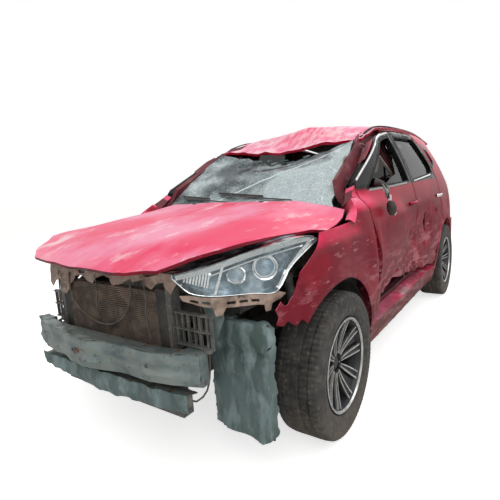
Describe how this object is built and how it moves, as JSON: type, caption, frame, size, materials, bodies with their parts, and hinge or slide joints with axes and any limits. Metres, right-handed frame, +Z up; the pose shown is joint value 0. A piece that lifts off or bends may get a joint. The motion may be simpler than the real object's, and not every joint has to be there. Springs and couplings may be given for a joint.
{
  "type": "crashed compact suv",
  "caption": "Wrecked five-door compact crossover with its front bumper and grille torn off, a crushed roof, a shattered windscreen and dented doors.",
  "frame": {"origin": "on the ground, midway between the axles on the car's centre line", "axes": "+X to the car's left, +Y to its rear, +Z up"},
  "size_m": [1.856, 4.198, 1.6207],
  "materials": {
    "paint": "crimson gloss paint under dust, scuffed and faded",
    "bare_steel": "dull primer-grey pressed steel with dirt",
    "cast": "rough dusty casting",
    "plastic": "grained black plastic, dusty",
    "core": "dirty finned core",
    "exhaust": "heat-stained and rusty",
    "lamp_lens": "clear moulded lens",
    "tail_lens": "red moulded lens",
    "cracked_glass": "laminated glass, crazed all over",
    "glass": "dark tinted, dusty",
    "seat_fabric": "woven grey-black cloth",
    "tyre": "dusty rubber",
    "alloy": "machined faces, dark infill"
  },
  "bodies": {
    "body": {"floor_pan": "bare_steel", "side_frame_left": "paint", "side_frame_right": "paint", "roof_panel": "paint", "engine_bay": "paint", "wing_left": "paint", "wing_right": "paint", "rear_bumper": "plastic", "bumper_beam": "bare_steel", "front_carrier": "plastic", "radiator": "core", "engine": "cast", "headlamp": "lamp_lens", "tail_lamps": "tail_lens", "windscreen": "cracked_glass", "fixed_glass": "glass", "seats": "seat_fabric", "dashboard": "plastic", "front_subframe": "bare_steel", "rear_axle": "bare_steel", "exhaust": "exhaust", "fuel_tank": "plastic", "arch_liners": "plastic", "door_front_left": "paint", "door_rear_left": "paint", "mirror_left": "plastic"},
    "bonnet": {"bonnet": "paint"},
    "tailgate": {"tailgate": "paint", "tailgate_glass": "glass"},
    "door_front_right": {"door_front_right": "paint", "glass_front_right": "glass", "mirror_right": "plastic"},
    "door_rear_right": {"door_rear_right": "paint", "glass_rear_right": "glass"},
    "knuckle_left": {"knuckle_left": "cast"},
    "knuckle_right": {"knuckle_right": "cast"},
    "wheel_front_left": {"tyre_front_left": "tyre", "rim_front_left": "alloy"},
    "wheel_front_right": {"tyre_front_right": "tyre", "rim_front_right": "alloy"},
    "wheel_rear_left": {"tyre_rear_left": "tyre", "rim_rear_left": "alloy"},
    "wheel_rear_right": {"tyre_rear_right": "tyre", "rim_rear_right": "alloy"},
    "steering_wheel": {"steering_wheel": "plastic"}
  },
  "joints": [
    {"name": "bonnet_hinge", "type": "hinge", "parent": "body", "child": "bonnet", "pos_m": [0, -0.934, 1.039], "axis": [-1, 0, 0], "range_deg": [0, 60]},
    {"name": "tailgate_hinge", "type": "hinge", "parent": "body", "child": "tailgate", "pos_m": [0, 1.833, 1.497], "axis": [1, 0, 0], "range_deg": [0, 75]},
    {"name": "door_front_right_hinge", "type": "hinge", "parent": "body", "child": "door_front_right", "pos_m": [-0.85452, -0.77, 0.55], "axis": [0, 0, 1], "range_deg": [0, 62]},
    {"name": "door_rear_right_hinge", "type": "hinge", "parent": "body", "child": "door_rear_right", "pos_m": [-0.86032, 0.2555, 0.55], "axis": [0, 0, 1], "range_deg": [0, 62]},
    {"name": "steer_left", "type": "hinge", "parent": "body", "child": "knuckle_left", "pos_m": [0.7, -1.295, 0.215], "axis": [-0.1945, 0, 0.9809], "range_deg": [-32, 32]},
    {"name": "steer_right", "type": "hinge", "parent": "body", "child": "knuckle_right", "pos_m": [-0.7, -1.295, 0.215], "axis": [0.1945, 0, 0.9809], "range_deg": [-32, 32]},
    {"name": "steering_wheel_turn", "type": "hinge", "parent": "body", "child": "steering_wheel", "pos_m": [0.36, -0.42, 0.87], "axis": [0, 0.9135, 0.4067], "range_deg": [-480, 480]},
    {"name": "spin_front_left", "type": "hinge", "parent": "knuckle_left", "child": "wheel_front_left", "pos_m": [0.778, -1.295, 0.344], "axis": [1, 0, 0], "continuous": true},
    {"name": "spin_front_right", "type": "hinge", "parent": "knuckle_right", "child": "wheel_front_right", "pos_m": [-0.778, -1.295, 0.344], "axis": [1, 0, 0], "continuous": true},
    {"name": "spin_rear_left", "type": "hinge", "parent": "body", "child": "wheel_rear_left", "pos_m": [0.778, 1.295, 0.344], "axis": [1, 0, 0], "continuous": true},
    {"name": "spin_rear_right", "type": "hinge", "parent": "body", "child": "wheel_rear_right", "pos_m": [-0.778, 1.295, 0.344], "axis": [1, 0, 0], "continuous": true}
  ],
  "couplings": [
    {"joint": "steer_right", "follows": "steer_left", "ratio": 1},
    {"joint": "steering_wheel_turn", "follows": "steer_left", "ratio": 15}
  ]
}
